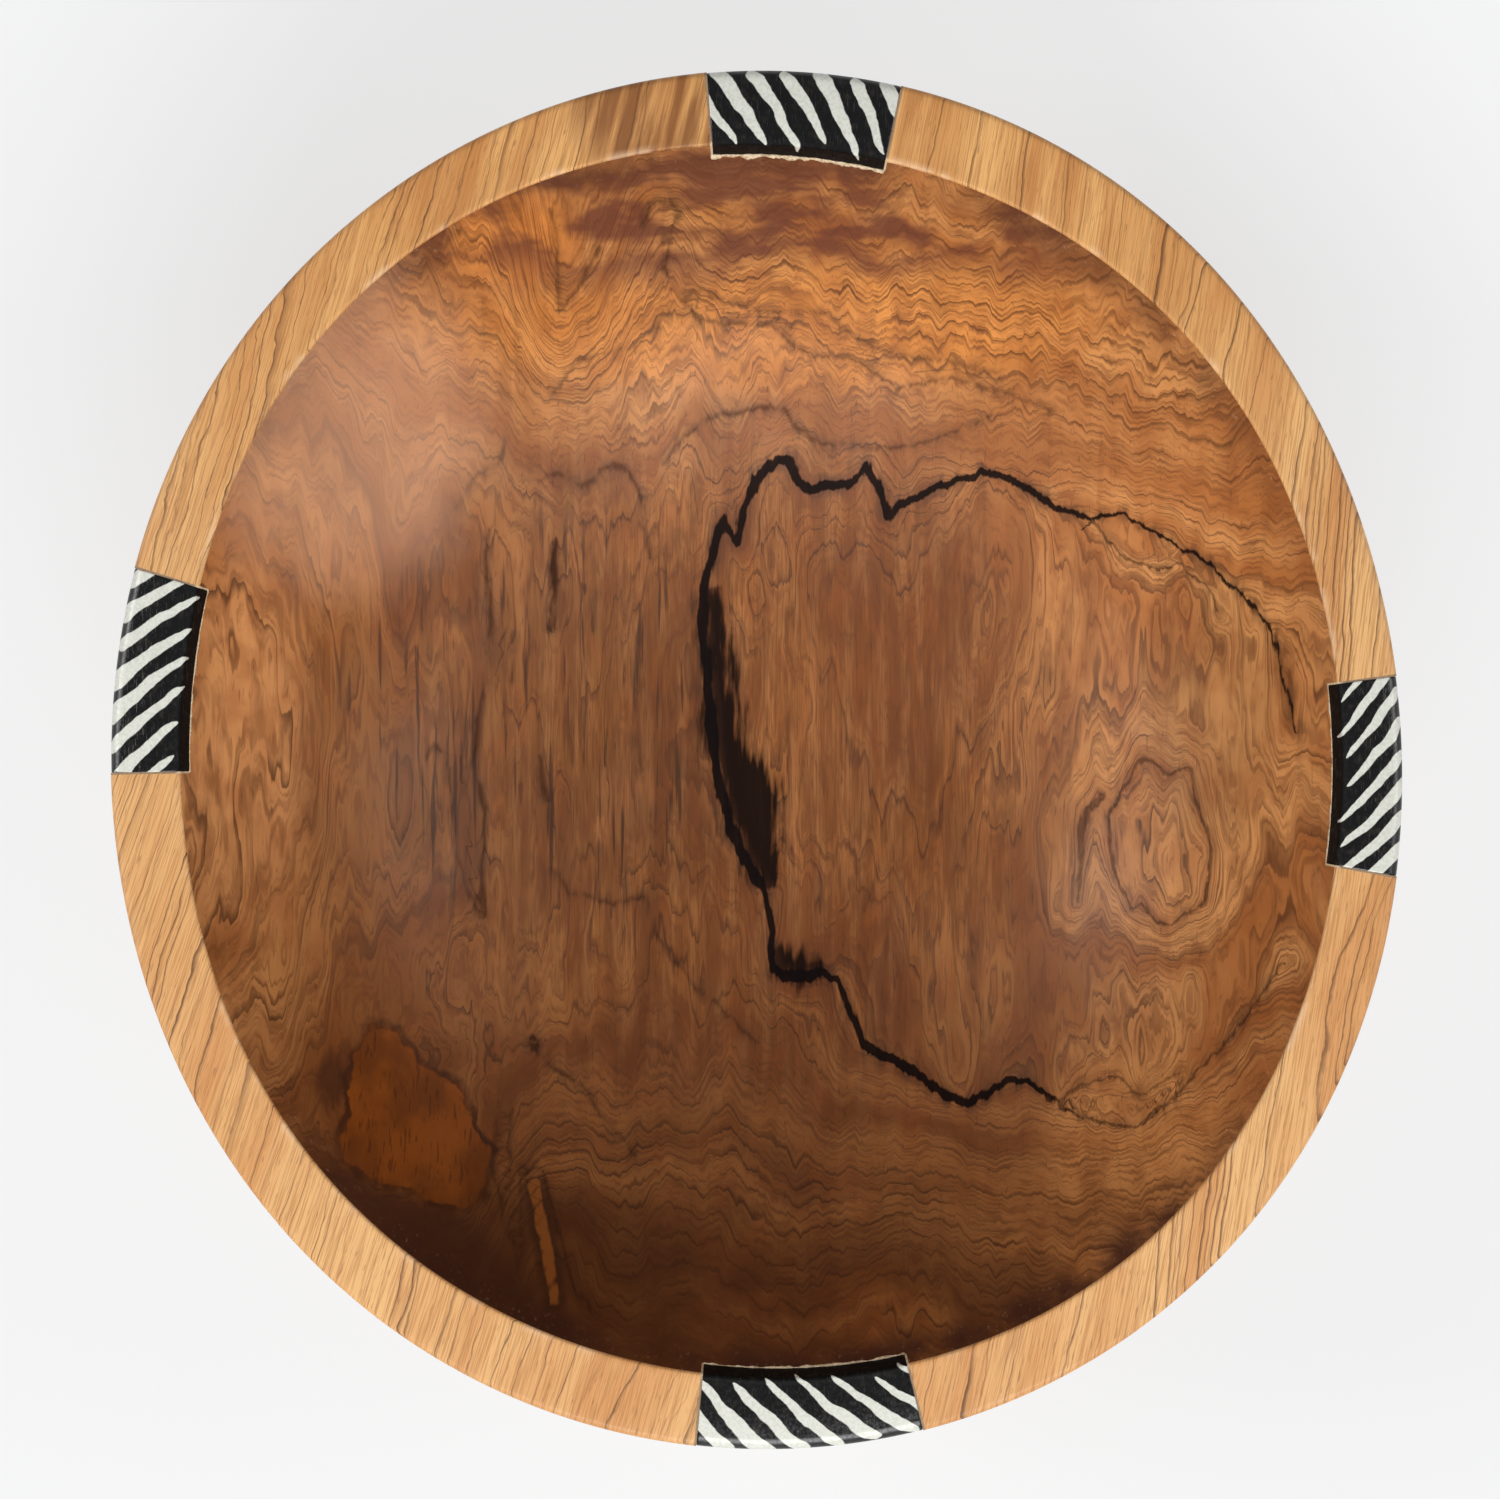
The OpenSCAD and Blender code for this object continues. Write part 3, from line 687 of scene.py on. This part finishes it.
def make_hollow_wood():
    """The hollow's finish: oiled orange-brown heartwood. It is cut across its growth layers, which run as
    streaks and loops on the floor and as wavy contours up the walls."""
    f = Finish("hollow_wood", 0.4)
    # Height, squeezed more the steeper the wall gets, so that the lines don't crowd under the rim
    climb = f.sum("MULTIPLY_ADD", f.sum("EXPONENT", f.sum("DIVIDE", f.z, -45.0)), -60.0, 60.0)
    place = f.add("CombineXYZ", {0: f.x, 1: f.y, 2: climb})
    # The fibres lie in the surface on the floor, and are cut across on the walls
    flat = f.rise(f.z, 15.0, 34.0, 1.0, 0.2)
    fibre = f.product(f.cloud(f.place, (0.35, 9, 1.6), 2.0, 2.0), flat)
    pores = f.rise(f.cloud(f.place, (0.5, 5.5, 1.4), 1.0, 31.0), 0.66, 0.75)
    mottle = f.cloud(place, (5, 9, 8), 3.0, 9.0)
    knot_fuzz = f.sum("MULTIPLY_ADD", f.cloud(place, (9, 12, 12), 3.0), 2.4, -1.2)

    layers = bend_layers(f, place, climb, knot_fuzz)
    wood = tint_heartwood(f, place, layers)
    wood = f.stain(wood, (0.29, 0.082, 0.02), f.rise(mottle, 0.42, 0.66, 0.0, 0.35))
    wood = add_grain(f, wood, place, layers, flat, fibre, pores)
    wood = add_knot(f, wood, place, mottle, knot_fuzz)
    wood = add_edge_stains_and_shade(f, wood, place)
    wood, black = add_figure(f, wood, place)

    # Painted sheen: a paler, whitish patch at the back left, with an uneven edge, standing in for the glossy
    # reflection of the lights
    worn = f.cloud(f.place, (28, 30, 28), 3.0, 71.0)
    painted_sheen = f.inside_patch((-96, 75), (40, 42), 0.0, 1.2, 0.3, f.sum("SUBTRACT", worn, 0.5))
    f.put(f.shader.inputs["Base Color"], f.stain(wood, (0.80, 0.50, 0.34), painted_sheen))
    # Where the wood is black it has hardly any shine
    f.put(f.shader.inputs["Specular IOR Level"], f.rise(black, 0.1, 0.9, 0.22, 0.04))
    f.put(f.shader.inputs["Roughness"], f.rise(worn, 0.3, 0.7, 0.4, 0.52))
    grooves = f.sum("SUBTRACT", f.sum("MULTIPLY", fibre, 0.5), f.sum("MULTIPLY", pores, 0.8))
    bump = f.add("Bump", {"Height": grooves, "Strength": 0.25, "Distance": 0.12 * MM})
    f.put(f.shader.inputs["Normal"], bump)
    return f.material


def make_rim_wood():
    """The rim's and the outside's finish: pale straw-orange wood with straight fibres, leaning a little to
    the right, and thin brown lines."""
    f = Finish("rim_wood", 0.45)
    lean = f.sum("MULTIPLY_ADD", f.x, -0.0007, 0.235)
    across = f.sum("SUBTRACT", f.x, f.sum("MULTIPLY", f.y, lean))
    place = f.add("CombineXYZ", {0: across, 1: f.y, 2: f.z})
    layers = f.sum("MULTIPLY_ADD", f.z, 0.45, across)
    layers = sway(f, layers, f.cloud(place, (70, 130, 60), 1.0), 7.0)
    layers = sway(f, layers, f.cloud(place, (14, 60, 30), 2.0, 3.1), 1.6)
    # The lines are more jagged at the back left
    jagged = f.rise(f.patch((-105, 90), (60, 60)), 0.5, 1.4, 3.6, 2.0)
    ripple = f.sum("SUBTRACT", f.cloud(place, (5, 9, 9), 3.0, 7.7), 0.5)
    layers = f.sum("ADD", layers, f.product(ripple, jagged))

    tone = f.sum("MULTIPLY_ADD", f.line_cloud(layers, 12.0, 2.0), 0.55,
                 f.sum("MULTIPLY", f.cloud(place, (26, 60, 40), 2.0, 5.0), 0.45))
    # Painted shade: towards the back the rim's tones turn warmer, and the darker one darker still
    back = f.rise(f.y, 40.0, 120.0)
    light = f.blend(back, (0.655, 0.375, 0.152), (0.68, 0.365, 0.13))
    deep = f.blend(back, (0.55, 0.262, 0.092), (0.48, 0.205, 0.058))
    wood = f.blend(f.rise(tone, 0.36, 0.64), light, deep)
    fibre = f.cloud(place, (0.3, 13, 2), 2.0, 2.0)
    wood = f.stain(wood, (0.36, 0.145, 0.042), f.rise(fibre, 0.42, 0.66, 0.0, 0.6))
    wood = f.stain(wood, (0.24, 0.09, 0.028), growth_lines(f, layers, 0.6, 1.0, 0.2, 0.5), 0.2)
    # A brown zone beside the back inlay, fading out down the outside
    brown_zone = f.inside_patch((-24, 146), (17, 20), 0.3, 1.5)
    brown_streaks = f.rise(f.cloud(place, (3, 30, 20), 3.0, 15.0), 0.25, 0.6)
    wood = f.stain(wood, (0.20, 0.072, 0.02), brown_zone, brown_streaks, f.rise(f.z, 70.0, 96.0, 0.15, 0.9))
    lines = growth_lines(f, layers, 2.2, 2.4, 0.25, 0.32)
    gaps = f.rise(f.cloud(place, (8, 34, 18), 2.0, 11.0), 0.3, 0.5, 0.35, 1.0)
    wood = f.stain(wood, (0.08, 0.028, 0.011), lines, gaps, 0.92)
    wood = f.stain(wood, (0.03, 0.012, 0.007), growth_lines(f, layers, 6.5, 2.0, 0.3, 0.09), 0.95)
    pores = f.rise(f.cloud(place, (0.4, 4.0, 1.2), 1.0, 31.0), 0.64, 0.74)
    wood = f.stain(wood, (0.14, 0.055, 0.02), pores, 0.4)
    # The inner edge is rubbed pale and fibrous where hands hold the bowl
    inner_edge_only = f.product(f.rise(f.stored("edge"), 0.1, 2.2, 1.0, 0.0), f.rise(f.z, 96.0, 98.0))
    rubbed = f.rise(f.cloud(place, (9, 9, 9), 3.0, 81.0), 0.5, 0.66)
    wood = f.stain(wood, (0.78, 0.56, 0.36), inner_edge_only, rubbed, 0.35)
    f.put(f.shader.inputs["Base Color"], wood)

    worn = f.cloud(f.place, (24, 26, 24), 3.0, 71.0)
    f.shader.inputs["Specular IOR Level"].default_value = 0.35
    f.put(f.shader.inputs["Roughness"], f.rise(worn, 0.3, 0.7, 0.42, 0.55))
    grooves = f.sum("SUBTRACT", f.sum("MULTIPLY", fibre, 0.6), f.sum("MULTIPLY", pores, 0.8))
    bump = f.add("Bump", {"Height": grooves, "Strength": 0.3, "Distance": 0.12 * MM})
    f.put(f.shader.inputs["Normal"], bump)
    return f.material


bowl.data.materials.append(make_rim_wood())
bowl.data.materials.append(make_hollow_wood())
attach(bowl, "root")
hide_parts("bowl_body")


# ---- The glue beds ---------------------------------------------------------------------------
# Set glue thickened with pale wood dust. Each bed lines the floor and the two ends of its notch, and some
# of it has squeezed out in a rough bead along the inner edge.
bed_thickness = 0.5 * MM
bed_steps = 48
# Radius of the squeezed-out bead on each side
bead_sizes = {"right": 0.26 * MM, "back": 0.8 * MM, "left": 0.26 * MM, "front": 0.45 * MM}


def fill_section(bottom, e, crown):
    """What fills a notch from bottom up to the rim: the outside, over the top and back down the hollow."""
    edge_steps, rim_steps, inner_steps = 5, 12, 4
    low = bowl_height - rim_drop - e
    section = [(1, outside_share(bottom), bottom), (1, outside_share(low), low)]
    section += outer_edge(e, edge_steps) + rim_top(e, crown, rim_steps) + inner_edge(inner_steps)
    section.append((0, hollow_share(bottom), bottom))
    return section


def sweep_round(section, middle, half, steps):
    """Sweeps a closed section round the rim and closes its two ends."""
    bm = start_section(section, math.radians(middle - half), closed=True)
    first = bm.edges[:]
    swept = bmesh.ops.spin(bm, geom=bm.verts[:] + bm.edges[:], cent=(0, 0, 0), axis=(0, 0, 1), dvec=(0, 0, 0),
                           angle=math.radians(2 * half), steps=steps, use_merge=False, use_duplicate=False)
    last = [g for g in swept["geom_last"] if isinstance(g, bmesh.types.BMEdge)]
    bmesh.ops.holes_fill(bm, edges=first + last, sides=0)
    fit_to_outline(bm)
    bmesh.ops.recalc_face_normals(bm, faces=bm.faces[:])
    return bm


def add_bead(piece, name, middle, half):
    """Joins a rough bead of glue onto a bed, along the line where the bone meets the hollow. How far outside
    the mouth each vertex is, in millimetres, is stored on it."""
    points, steps = 8, 90
    end_gap, flatness = 0.15, 0.7
    lumps, grit = 450, 1300
    size = bead_sizes[name]
    z = notch_floor + 0.2 * MM
    turns = [math.tau * i / points for i in range(points)]
    share = hollow_share(z)
    ring = [(0, share + size / mouth_radius * math.cos(t) * flatness, z + size * math.sin(t)) for t in turns]
    bm = sweep_round(ring, middle, half - end_gap, steps)
    bm.normal_update()
    for v in bm.verts:
        v.co += v.normal * size * (0.9 * noise.noise(v.co * lumps) + 0.5 * noise.noise(v.co * grit))
    bm.from_mesh(piece.data)
    shade_by_angle(bm, 40)
    bm.to_mesh(piece.data)
    bm.free()
    inner = piece.data.attributes.new("inner", "FLOAT", "POINT")
    for v in piece.data.vertices:
        co = v.co + outline_shift
        inner.data[v.index].value = (math.hypot(co.x, co.y) - mouth_edge(math.atan2(co.y, co.x))) / MM


def make_glue():
    """Matt cream filler with specks of wood dust, dirtier away from the hollow."""
    f = Finish("cream_filler", 0.75)
    specks = f.cloud(f.place, (0.5, 0.5, 0.5), 3.0)
    dirt = f.cloud(f.place, (3, 3, 3), 2.0, 5.0)
    glue = f.blend(f.rise(specks, 0.4, 0.7), (0.70, 0.56, 0.38), (0.46, 0.32, 0.18))
    glue = f.stain(glue, (0.22, 0.13, 0.07), f.rise(dirt, 0.5, 0.75, 0.0, 0.5))
    glue = f.stain(glue, (0.16, 0.085, 0.04), f.rise(f.stored("inner"), -0.2, 1.5, 0.0, 0.8))
    f.put(f.shader.inputs["Base Color"], glue)
    bump = f.add("Bump", {"Height": specks, "Strength": 0.6, "Distance": 0.2 * MM})
    f.put(f.shader.inputs["Normal"], bump)
    return f.material


glue_finish = make_glue()
bed_turn = math.degrees(bed_thickness / rim_radius)
for name, (middle, half) in inlay_places.items():
    bed_mesh = sweep_round(fill_section(notch_floor, outer_round, 0), middle, half, bed_steps)
    bed = finish_mesh(bed_mesh, "glue_" + name)
    cut_away(bed, [wedge_cutter(middle, half - bed_turn, notch_floor + bed_thickness, "bone_room")])
    add_bead(bed, name, middle, half)
    bed.data.materials.append(glue_finish)
    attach(bed, "root")
    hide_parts("glue_bed_" + name)


# ---- The bone inlays -------------------------------------------------------------------------
# Four short lengths of cattle bone, dyed black with a wax resist that leaves pale club-shaped stripes, then
# polished. Each is curved to the rim, crowned on top and rounded over at its outer edge.
bone_round = 2.6 * MM
bone_crown = 0.35 * MM
bone_steps = 96
# How many stripes each piece has, how many millimetres they lean along the rim on their way across it, and
# where in the run of stripes it starts
bone_stripes = {"right": (6.3, 17.0, 3.1), "back": (5.7, 11.0, 20.4),
                "left": (6.1, 16.0, 41.2), "front": (5.9, 16.5, 60.7)}


def mark_bone(piece, name, middle, half):
    """Stores on the vertices which stripe each lies in, and how far it is across the bone: 0 at the inner
    edge, 1 at the outer edge and more down the outside."""
    count, slant, start = bone_stripes[name]
    length = 2 * math.radians(half) * rim_radius
    outside_top, outside_reach = bowl_height - 4 * MM, 15 * MM
    mesh = piece.data
    stripe = mesh.attributes.new("stripe", "FLOAT", "POINT")
    across = mesh.attributes.new("across", "FLOAT", "POINT")
    for v in mesh.vertices:
        co = v.co + outline_shift
        a = math.atan2(co.y, co.x)
        r = math.hypot(co.x, co.y)
        turn = (a - math.radians(middle) + math.pi) % math.tau - math.pi
        out = (r - mouth_edge(a)) / (rim_edge(a) - mouth_edge(a))
        down = max(0.0, outside_top - co.z) / outside_reach if out > 0.9 else 0.0
        along = turn * rim_radius - slant * MM * (out + down)
        stripe.data[v.index].value = start + count * along / length
        across.data[v.index].value = out + down


def stripe_pattern(f, out):
    """1 in the pale stripes and 0 in the black: wide and round at the outer edge, drawn out to a rounded
    tip near the inner edge. Each stripe's width and length vary by chance."""
    count = sway(f, f.stored("stripe"), f.cloud(f.place, (7, 7, 7), 1.0), 0.09)
    count = sway(f, count, f.cloud(f.place, (1.6, 1.6, 2), 1.0, 4.0), 0.018)
    which = f.sum("FLOOR", count)
    tip_chance = f.chance(which)
    width_chance = f.chance(f.sum("ADD", which, 31.7))
    start = f.sum("MULTIPLY_ADD", tip_chance, 0.14, -0.04)
    width = f.add("MapRange", {"Value": out, "From Min": start, "From Max": 0.9, "To Min": 0.42,
                               "To Max": 1.0})
    tip = f.sum("DIVIDE", f.sum("SUBTRACT", out, start), 0.09)
    tip = f.sum("SQRT", f.sum("MINIMUM", f.sum("MAXIMUM", tip, 0.0), 1.0))
    club_end = f.rise(out, 0.9, f.sum("MULTIPLY_ADD", width_chance, 0.25, 0.98), 1.0, 0.0)
    width = f.product(width, f.sum("MULTIPLY_ADD", width_chance, 0.08, 0.26), tip, f.sum("SQRT", club_end))
    from_middle = f.sum("ABSOLUTE", f.sum("SUBTRACT", f.sum("FRACT", count), 0.5))
    return f.product(f.rise(f.sum("SUBTRACT", width, from_middle), -0.015, 0.03), f.rise(tip, 0.0, 0.3))


def make_bone():
    """Polished black bone with pale stripes."""
    f = Finish("dyed_bone", 0.16)
    out = f.stored("across")
    stain = f.cloud(f.place, (0.7, 0.7, 0.7), 3.0, 8.0)
    pale = f.blend(f.rise(stain, 0.35, 0.7), (0.60, 0.60, 0.54), (0.50, 0.50, 0.44))
    brownish = f.rise(f.cloud(f.place, (2, 2, 2), 3.0, 12.0), 0.5, 0.8)
    black = f.blend(brownish, (0.004, 0.004, 0.004), (0.018, 0.014, 0.011))
    scratches = f.rise(f.cloud(f.place, (0.12, 3.5, 2.0), 2.0, 19.0), 0.64, 0.7)
    black = f.stain(black, (0.16, 0.15, 0.13), scratches, 0.25)
    f.put(f.shader.inputs["Base Color"], f.blend(stripe_pattern(f, out), black, pale))
    polish = f.rise(stain, 0.35, 0.75, 0.14, 0.3)
    # The inner face and the rounded outer edge are rubbed dull
    polish = f.sum("ADD", polish, f.rise(out, 0.12, 0.02, 0.0, 0.45))
    f.put(f.shader.inputs["Roughness"], f.sum("ADD", polish, f.rise(out, 0.8, 0.95, 0.0, 0.2)))
    f.put(f.shader.inputs["Specular IOR Level"], f.rise(out, 0.12, 0.02, 0.45, 0.06))
    height = f.sum("ADD", f.sum("MULTIPLY", stain, 0.3), f.sum("MULTIPLY", scratches, -0.5))
    bump = f.add("Bump", {"Height": height, "Strength": 0.2, "Distance": 0.1 * MM})
    f.put(f.shader.inputs["Normal"], bump)
    return f.material


def bevel_ends(bm):
    """Rounds the edges of a bone's two flat end faces."""
    ends = [face for face in bm.faces if len(face.verts) > 4]
    edges = list({edge for face in ends for edge in face.edges})
    bmesh.ops.bevel(bm, geom=edges, offset=0.25 * MM, offset_type="OFFSET", segments=2, profile=0.5,
                    affect="EDGES", material=-1, clamp_overlap=True)


bone_finish = make_bone()
for name, (middle, half) in inlay_places.items():
    bone_half = half - bed_turn
    section = fill_section(notch_floor + bed_thickness, bone_round, bone_crown)
    bone_mesh = sweep_round(section, middle, bone_half, bone_steps)
    bevel_ends(bone_mesh)
    bone = finish_mesh(bone_mesh, "bone_" + name, 40)
    mark_bone(bone, name, middle, bone_half)
    bone.data.materials.append(bone_finish)
    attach(bone, "root")
    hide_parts("bone_inlay_" + name)


# ---- The floor, the lights and the camera ----------------------------------------------------
# A pale sweep of paper lit by one big soft window in front, with paler light from the other sides. The
# camera looks straight down.
floor_reach = 30
floor_gap = 0.1 * MM
floor_mesh = bmesh.new()
bmesh.ops.create_grid(floor_mesh, x_segments=1, y_segments=1, size=floor_reach)
bmesh.ops.translate(floor_mesh, verts=floor_mesh.verts[:], vec=(0, 0, -floor_gap))
floor = finish_mesh(floor_mesh, "floor")
paper = Finish("paper", 0.9)
paper.shader.inputs["Specular IOR Level"].default_value = 0.1
paper_cloud = paper.cloud(paper.place, (160, 160, 160))
paper_tone = paper.blend(paper_cloud, (0.20, 0.205, 0.21), (0.21, 0.213, 0.216))
paper.put(paper.shader.inputs["Base Color"], paper_tone)
paper.shader.inputs["Emission Color"].default_value = (1.0, 1.0, 1.0, 1)
paper.shader.inputs["Emission Strength"].default_value = 0.65
floor.data.materials.append(paper.material)

view_distance = 1.3
view_width = 331.3 * MM
view_middle = (-1.5 * MM, 2.3 * MM)
camera_data = bpy.data.cameras.new("camera")
camera_data.sensor_width = 36
camera_data.lens = camera_data.sensor_width * view_distance / view_width
camera = bpy.data.objects.new("camera", camera_data)
camera.location = (*view_middle, bowl_height + view_distance)
bpy.context.scene.collection.objects.link(camera)
bpy.context.scene.camera = camera


def add_window(name, place, width, height, power):
    """A soft rectangular light that faces the middle of the bowl."""
    light = bpy.data.lights.new(name, "AREA")
    light.shape = "RECTANGLE"
    light.size = width
    light.size_y = height
    light.energy = power
    lamp = bpy.data.objects.new(name, light)
    lamp.location = place
    towards_bowl = Vector((0, 0, bowl_height / 2)) - lamp.location
    lamp.rotation_euler = towards_bowl.to_track_quat("-Z", "Y").to_euler()
    bpy.context.scene.collection.objects.link(lamp)


add_window("window_front", (0.1, -3.1, 2.9), 2.6, 2.0, 165)
add_window("window_right_front", (1.5, -1.35, 1.9), 0.8, 0.8, 8)
add_window("window_left", (-2.3, 0.3, 1.7), 1.2, 1.2, 42)
add_window("window_right", (2.3, 0.3, 1.7), 1.2, 1.2, 24)

world = bpy.data.worlds.new("world")
world.use_nodes = True
background = world.node_tree.nodes["Background"]
background.inputs["Color"].default_value = (0.93, 0.96, 1, 1)
background.inputs["Strength"].default_value = 0.22
bpy.context.scene.world = world
bpy.context.scene.view_settings.view_transform = "Standard"
